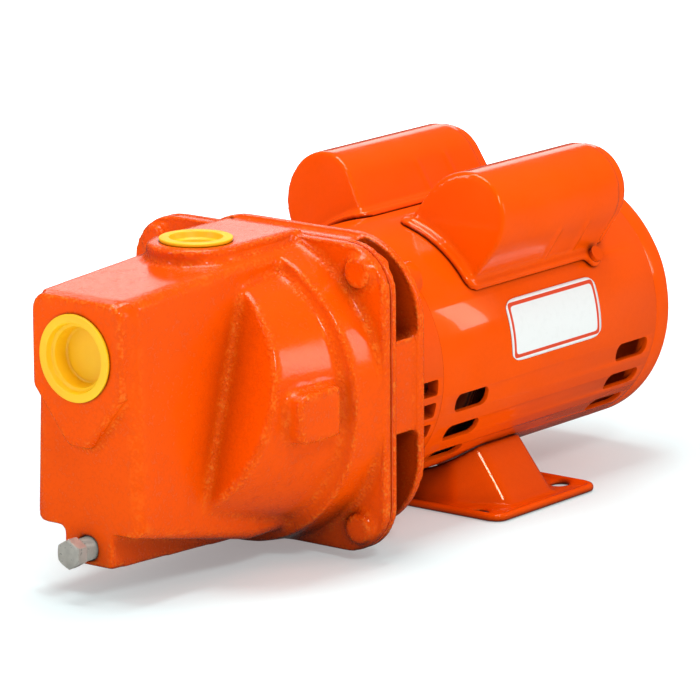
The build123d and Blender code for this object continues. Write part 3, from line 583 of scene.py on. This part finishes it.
def laminations():
    """Stacked core sheets: fine rings along the shaft."""
    material, tree, shader, at = start_material("core_steel", (0.16, 0.15, 0.15), Metallic=0.9, Roughness=0.5)
    sheets = add_node(tree, "ShaderNodeTexWave", {"Vector": at, "Scale": 320.0, "Distortion": 0.3},
                      bands_direction="X", wave_profile="SAW")
    tree.links.new(blended(tree, sheets.outputs["Fac"], (0.07, 0.06, 0.06), (0.24, 0.22, 0.21)),
                   shader.inputs["Base Color"])
    bump(tree, shader, sheets.outputs["Fac"], 0.1 * MM, 0.8)
    return material


def winding_wire():
    """Varnished copper wire wound round the core's ends."""
    material, tree, shader, at = start_material("copper", (0.42, 0.12, 0.04), Metallic=0.75, Roughness=0.34,
                                                Coat_Weight=0.4, Coat_Roughness=0.25)
    wires = add_node(tree, "ShaderNodeTexWave", {"Vector": at, "Scale": 240.0, "Distortion": 2.5, "Detail": 1.0,
                                                 "Detail Scale": 0.6}, bands_direction="X")
    tree.links.new(blended(tree, wires.outputs["Fac"], (0.12, 0.03, 0.012), (0.50, 0.15, 0.05)),
                   shader.inputs["Base Color"])
    bump(tree, shader, wires.outputs["Fac"], 0.4 * MM, 0.9)
    return material


def printed_foil():
    """A plain printed plate: a pale field with one bright border line inside its edge."""
    material, tree, shader, at = start_material("badge_enamel", (0.86, 0.86, 0.84), Roughness=0.28, Coat_Weight=0.5,
                                                Coat_Roughness=0.08)
    low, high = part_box("badge")
    centre, half = (low + high) / 2, (high - low) / 2
    parts = add_node(tree, "ShaderNodeSeparateXYZ", {"Vector": at})
    reach = []
    for axis, label in ((0, "X"), (2, "Z")):
        away = add_node(tree, "ShaderNodeMath", {0: parts.outputs[label], 1: centre[axis]}, operation="SUBTRACT")
        size = add_node(tree, "ShaderNodeMath", {0: away.outputs[0]}, operation="ABSOLUTE")
        inside = add_node(tree, "ShaderNodeMath", {0: half[axis], 1: size.outputs[0]}, operation="SUBTRACT")
        reach.append(inside.outputs[0])
    edge = add_node(tree, "ShaderNodeMath", {0: reach[0], 1: reach[1], 2: 4 * MM}, operation="SMOOTH_MIN")
    band_in = spread(tree, edge.outputs[0], 0.0, 1.0, 1.6 * MM, 1.8 * MM)
    band_out = spread(tree, edge.outputs[0], 1.0, 0.0, 3.6 * MM, 3.8 * MM)
    band = add_node(tree, "ShaderNodeMath", {0: band_in, 1: band_out}, operation="MULTIPLY")
    scuff = spread(tree, noise(tree, at, 260.0, 4.0), 0.0, 0.08, 0.5, 0.7)
    field = blended(tree, scuff, (0.88, 0.88, 0.86), (0.6, 0.6, 0.58))
    tree.links.new(blended(tree, band.outputs[0], field, (0.80, 0.06, 0.01)), shader.inputs["Base Color"])
    bump(tree, shader, noise(tree, at, 500.0, 2.0), 0.02 * MM, 0.5)
    return material


def make_finishes(settings):
    """Every finish, by the record's slot name."""
    groups = {"grain": grain_group(), "tint": tint_group(), "marks": streak_group()}
    yellow, zinc = tuple(settings.plug_yellow), tuple(settings.zinc)
    made = [
        cast_enamel(settings, groups),
        smooth_enamel("motor_paint", settings, groups),
        smooth_enamel("alloy_paint", settings, groups, 0.09 * MM),
        moulded("cap_plastic", yellow, (0.90, 0.44, 0.003), 0.36, groups, 0.8 * MM, 0.03 * MM,
                Subsurface_Weight=0.15, Subsurface_Scale=3 * MM, Subsurface_Radius=(1.0, 0.6, 0.05)),
        worked_metal("zinc", zinc, (0.26, 0.24, 0.21), groups, (300.0, 300.0, 300.0), 0.05 * MM, 0.5, 0.35),
        worked_metal("steel", (0.56, 0.56, 0.57), (0.30, 0.29, 0.28), groups),
        worked_metal("core_alloy", (0.62, 0.62, 0.63), (0.4, 0.4, 0.4), groups, (200.0, 200.0, 200.0), 0.08 * MM),
        laminations(),
        winding_wire(),
        moulded("jet_plastic", (0.045, 0.045, 0.05), (0.02, 0.02, 0.022), 0.3, groups),
        moulded("seal_rubber", (0.028, 0.028, 0.028), (0.045, 0.043, 0.04), 0.62, groups, 0.5 * MM, 0.05 * MM),
        moulded("gasket_fibre", tuple(settings.enamel), tuple(settings.enamel_deep), 0.4, groups, 0.9 * MM, 0.12 * MM),
        moulded("seal_ceramic", (0.84, 0.83, 0.79), (0.76, 0.74, 0.69), 0.2, groups, 0.5 * MM, 0.01 * MM),
        moulded("can_plastic", (0.06, 0.06, 0.065), (0.03, 0.03, 0.035), 0.42, groups),
        moulded("board_plastic", (0.09, 0.07, 0.05), (0.05, 0.035, 0.025), 0.45, groups),
        printed_foil(),
    ]
    FINISHES.update({material.name.removesuffix("_finish"): material for material in made})


def place(piece, body, slot, *replaced):
    """Give a piece its body and its finish, and hide the CAD nodes that it stands for."""
    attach(piece, body)
    if replaced:
        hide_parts(*replaced)
    piece.data.materials.clear()
    piece.data.materials.append(FINISHES[slot])
    return piece


# ---- operators -----------------------------------------------------------------------------
class PUMP_OT_finishes(bpy.types.Operator):
    """Make the finishes and give each CAD node its own"""
    bl_idname = "pump.finishes"
    bl_label = "Finishes"

    def execute(self, context):
        make_finishes(context.scene.pump_finish)
        for part in frame["record"]["subparts"]:
            node = frame["nodes"][part["node"]]
            node.data.materials.clear()
            node.data.materials.append(FINISHES[part["material_slot"]])
            node.data.shade_smooth()
        return {"FINISHED"}


class PUMP_OT_castings(bpy.types.Operator):
    """Rounded sand castings: the pump casing and the motor adapter"""
    bl_idname = "pump.castings"
    bl_label = "Castings"

    def execute(self, context):
        shape = context.scene.pump_shape
        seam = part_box("casing_gasket")[0].x
        casing = rounded_skin("pump_casing", "casing_casting", shape.cast_voxel, shape.cast_rounding, seam)
        place(casing, "pump", "casing_paint", "pump_casing")
        adapter = rounded_skin("motor_adapter", "adapter_casting", shape.cast_voxel * 0.85, shape.cast_rounding - 2,
                               seam)
        place(adapter, "pump", "casing_paint", "motor_adapter")
        return {"FINISHED"}


class PUMP_OT_motor(bpy.types.Operator):
    """The motor's shell, end shields and rear cover, with their edges rounded"""
    bl_idname = "pump.motor"
    bl_label = "Motor shell"

    def execute(self, context):
        radius = context.scene.pump_shape.edge_radius
        for node, slot in (("motor_shell", "motor_paint"), ("front_end_shield", "alloy_paint"),
                           ("rear_end_shield", "alloy_paint"), ("rear_cover", "motor_paint")):
            place(edged_skin(node, node + "_skin", radius), "pump", slot, node)
        return {"FINISHED"}


class PUMP_OT_pressings(bpy.types.Operator):
    """The pressed sheet pieces: two capacitor covers and the foot"""
    bl_idname = "pump.pressings"
    bl_label = "Pressings"

    def execute(self, context):
        voxel = context.scene.pump_shape.sheet_voxel
        for node, passes in (("start_capacitor_cover", 12), ("run_capacitor_cover", 12), ("foot_base", 26)):
            place(rounded_skin(node, node + "_skin", voxel, passes), "pump", "motor_paint", node)
        return {"FINISHED"}


class PUMP_OT_port_caps(bpy.types.Operator):
    """The two moulded caps: flat rim, plug and a stepped cup inside it"""
    bl_idname = "pump.port_caps"
    bl_label = "Port caps"

    def execute(self, context):
        for node, direction, rim, plug in (("suction_cap", (-1, 0, 0), 23.5, 21.35),
                                           ("discharge_cap", (0, 0, 1), 19.8, 16.95)):
            low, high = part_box(node)
            centre = (low + high) / 2
            face = (low.x, centre.y, centre.z) if direction[0] else (centre.x, centre.y, high.z)
            outline = [(-14, 0.0), (-14, plug - 1.4), (-12, plug), (-2.2, plug), (-2.0, rim - 0.3), (-0.3, rim),
                       (0, rim - 0.6), (0, plug - 2.6), (-3.4, plug - 3.4), (-4.0, plug - 5.2),
                       (-11.6, plug - 6.2), (-12.2, plug - 7.6), (-12.2, 0.0)]
            rounded = soft_corners(outline[1:-1], 0.45, 4) * MM
            profile = np.vstack([[(-14 * MM, 0)], rounded, [(-12.2 * MM, 0)]])
            cap = surface(node + "_moulding", spun_grid(profile, face, direction, 128), smooth_angle=40)
            place(cap, node, "cap_plastic", node)
        return {"FINISHED"}


class PUMP_OT_port_threads(bpy.types.Operator):
    """The pipe threads inside the two ports"""
    bl_idname = "pump.port_threads"
    bl_label = "Port threads"

    def execute(self, context):
        pitch = context.scene.pump_shape.pipe_pitch
        for mount in frame["record"]["mounts"]:
            if mount["kind"] != "threaded_hole":
                continue
            bore, length = (mount["dims"][key] * MM for key in ("r_mm", "length_mm"))
            away = np.asarray(mount["axis"], float)
            start = np.asarray(mount["pos_m"], float) - away * length / 2
            thread = threaded_sleeve(mount["name"] + "_thread", start, away, bore, bore + 0.5 * MM, length, pitch)
            place(thread, "pump", "casing_paint")
        return {"FINISHED"}


class PUMP_OT_fasteners(bpy.types.Operator):
    """The drain plug, bolt heads and screws"""
    bl_idname = "pump.fasteners"
    bl_label = "Fasteners"

    def execute(self, context):
        low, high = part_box("drain_plug")
        y, z = (low.y + high.y) / 2, (low.z + high.z) / 2
        head_back = low.x + 7 * MM
        head = hex_head("plug_head", (head_back, y, z), (-1, 0, 0), 14.3 * MM, 7 * MM)
        shank = threaded_rod("plug_shank", (head_back, y, z), (1, 0, 0), 6.35 * MM, high.x - head_back, 1.41 * MM)
        place(joined("drain_plug_turned", [head, shank]), "pump", "zinc", "drain_plug")

        for node, flats, out, head_height in (("casing_bolts", 13.0, 1, 5.5), ("adapter_bolts", 14.3, -1, 6.0)):
            low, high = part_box(node)
            seat = high.x - head_height * MM if out > 0 else low.x + head_height * MM
            centres = bolt_centres(node, flats * MM)
            heads = []
            for k, (y, z) in enumerate(centres):
                heads.append(hex_head(f"{node}_{k}", (seat, y, z), (out, 0, 0), flats * MM, head_height * MM))
                end = low.x if out > 0 else high.x
                radius = (3.95 if out > 0 else 4.7) * MM
                heads.append(threaded_rod(f"{node}_rod_{k}", (seat, y, z), (-out, 0, 0), radius,
                                          abs(end - seat), 1.4 * MM))
            place(joined(node + "_turned", heads), "pump", "motor_paint", node)
        return {"FINISHED"}


def bolt_centres(node, across_flats):
    """Y and Z of each bolt of a node, from the four corners of the node's box."""
    low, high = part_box(node)
    centre_y, centre_z = (low.y + high.y) / 2, (low.z + high.z) / 2
    half_y = (high.y - low.y) / 2 - across_flats / math.sqrt(3)
    half_z = (high.z - low.z) / 2 - across_flats / 2
    return [(centre_y + a * half_y, centre_z + b * half_z) for a in (-1, 1) for b in (-1, 1)]


class PUMP_OT_badge(bpy.types.Operator):
    """The plain plate on the shell's near side"""
    bl_idname = "pump.badge"
    bl_label = "Badge"

    def execute(self, context):
        low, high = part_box("badge")
        rows, columns = 57, 29
        u, v = np.meshgrid(np.linspace(-1, 1, rows), np.linspace(-1, 1, columns), indexing="ij")
        half_x, half_z = (high.x - low.x) / 2, (high.z - low.z) / 2
        # a square bent to a rounded plate: each side is pulled in near the corners as the other nears 1
        x = (low.x + high.x) / 2 + half_x * u * np.sqrt(1 - 0.10 * np.abs(v) ** 14)
        z = (low.z + high.z) / 2 + half_z * v * np.sqrt(1 - 0.22 * np.abs(u) ** 18)
        radius = SHELL_RADIUS + 0.25 * MM
        y = -np.sqrt(radius ** 2 - (z - SHAFT_HEIGHT) ** 2)
        plate = surface("badge_plate", np.stack([x, y, z], -1), False, False)
        wall = plate.modifiers.new("foil", "SOLIDIFY")
        wall.thickness = 0.35 * MM
        wall.offset = 0.0
        settle(plate)
        place(plate, "pump", "badge_enamel", "badge")
        return {"FINISHED"}


class PUMP_OT_stage(bpy.types.Operator):
    """Pale floor, soft studio lights and the camera"""
    bl_idname = "pump.stage"
    bl_label = "Stage"

    def execute(self, context):
        stage = context.scene.pump_stage
        half = stage.floor_size / 2
        mesh = bpy.data.meshes.new("floor")
        mesh.from_pydata([(-half, -half, 0), (half, -half, 0), (half, half, 0), (-half, half, 0)], [], [(0, 1, 2, 3)])
        floor = new_piece("floor", mesh)
        # the floor's cool colour balances the orange light that the pump throws on it
        pale, tree, shader, at = start_material("glowing_floor", (0.56, 0.72, 0.73), Roughness=0.9,
                                                Emission_Color=(1.0, 0.90, 0.90, 1))
        tree.links.new(blended(tree, noise(tree, at, 3.0), (0.57, 0.73, 0.74), (0.55, 0.71, 0.72)),
                       shader.inputs["Base Color"])
        # painted light: away from the pump the floor glows to white, like the lit backdrop of a studio, and near the
        # pump it glows less
        away = add_node(tree, "ShaderNodeVectorMath", {0: at, 1: (-0.08, 0, 0)}, operation="DISTANCE")
        tree.links.new(spread(tree, away.outputs["Value"], 0.30, 1.35, 0.32, 1.10), shader.inputs["Emission Strength"])
        mesh.materials.append(pale)
        floor.visible_glossy = False

        for name, place_at, aim, size, power in (
                ("key", (-0.8, -1.4, 1.5), (-0.05, 0, 0.1), (0.35, 0.35), 10),
                ("top", (0.0, 0.15, 1.9), (0.0, 0, 0.1), (1.3, 0.9), 28),
                ("strip", (-2.0, 0.9, 1.0), (-0.1, 0, 0.1), (0.2, 0.9), 4),
                ("rim", (1.2, -1.7, 0.9), (0.05, 0, 0.1), (0.25, 0.7), 3),
                ("back", (1.7, 1.5, 0.85), (-0.1, 0, 0.15), (1.4, 0.5), 3)):
            lamp = bpy.data.lights.new(name, "AREA")
            lamp.shape = "RECTANGLE"
            lamp.size, lamp.size_y = size
            lamp.energy = power
            light = bpy.data.objects.new(name, lamp)
            light.location = place_at
            light.rotation_euler = (Vector(aim) - Vector(place_at)).to_track_quat("-Z", "Y").to_euler()
            context.scene.collection.objects.link(light)

        world = bpy.data.worlds.new("studio")
        world.use_nodes = True
        # the room looks dim in reflections, so that gloss shows the lamps and not a white haze
        tree = world.node_tree
        seen = tree.nodes["Background"]
        mirrored = tree.nodes.new("ShaderNodeBackground")
        for node, strength in ((seen, 0.60), (mirrored, 0.06)):
            node.inputs["Color"].default_value = (1, 1, 1, 1)
            node.inputs["Strength"].default_value = strength
        either = tree.nodes.new("ShaderNodeMixShader")
        tree.links.new(tree.nodes.new("ShaderNodeLightPath").outputs["Is Glossy Ray"], either.inputs["Fac"])
        tree.links.new(seen.outputs["Background"], either.inputs[1])
        tree.links.new(mirrored.outputs["Background"], either.inputs[2])
        tree.links.new(either.outputs["Shader"], tree.nodes["World Output"].inputs["Surface"])
        context.scene.world = world
        context.scene.view_settings.view_transform = "Standard"

        camera_data = bpy.data.cameras.new("camera")
        camera_data.sensor_width = 36
        camera_data.lens = stage.lens
        camera_data.shift_x, camera_data.shift_y = stage.shift
        camera_data.clip_end = 60
        camera = bpy.data.objects.new("camera", camera_data)
        back = (Vector(stage.camera_place) - Vector(stage.camera_aim)).normalized()
        right = Vector((0, 0, 1)).cross(back).normalized()
        up = back.cross(right)
        c, s = math.cos(stage.camera_roll), math.sin(stage.camera_roll)
        turned = Matrix((c * right + s * up, -s * right + c * up, back)).transposed()
        camera.matrix_world = Matrix.Translation(Vector(stage.camera_place)) @ turned.to_4x4()
        context.scene.collection.objects.link(camera)
        context.scene.camera = camera
        return {"FINISHED"}


class PUMP_PT_panel(bpy.types.Panel):
    """The pump's settings and steps"""
    bl_idname = "PUMP_PT_panel"
    bl_label = "Jet Pump"
    bl_space_type = "VIEW_3D"
    bl_region_type = "UI"
    bl_category = "Jet Pump"

    def draw(self, context):
        for group in (context.scene.pump_finish, context.scene.pump_shape, context.scene.pump_stage):
            for key in group.bl_rna.properties.keys():
                if key not in ("rna_type", "name"):
                    self.layout.prop(group, key)
        for step in STEPS:
            self.layout.operator(step.bl_idname)


STEPS = (PUMP_OT_finishes, PUMP_OT_castings, PUMP_OT_motor, PUMP_OT_pressings, PUMP_OT_port_caps,
         PUMP_OT_port_threads, PUMP_OT_fasteners, PUMP_OT_badge, PUMP_OT_stage)
SETTINGS = (PumpFinishSettings, PumpShapeSettings, PumpStageSettings)


def register():
    """Add the settings, steps and panel to Blender."""
    for item in SETTINGS + STEPS + (PUMP_PT_panel,):
        bpy.utils.register_class(item)
    bpy.types.Scene.pump_finish = PointerProperty(type=PumpFinishSettings)
    bpy.types.Scene.pump_shape = PointerProperty(type=PumpShapeSettings)
    bpy.types.Scene.pump_stage = PointerProperty(type=PumpStageSettings)


def unregister():
    """Take them away again."""
    del bpy.types.Scene.pump_finish, bpy.types.Scene.pump_shape, bpy.types.Scene.pump_stage
    for item in reversed(SETTINGS + STEPS + (PUMP_PT_panel,)):
        bpy.utils.unregister_class(item)


def main():
    """Build every piece in order."""
    register()
    for step in STEPS:
        group, name = step.bl_idname.split(".")
        getattr(getattr(bpy.ops, group), name)()


if __name__ == "__main__":
    main()
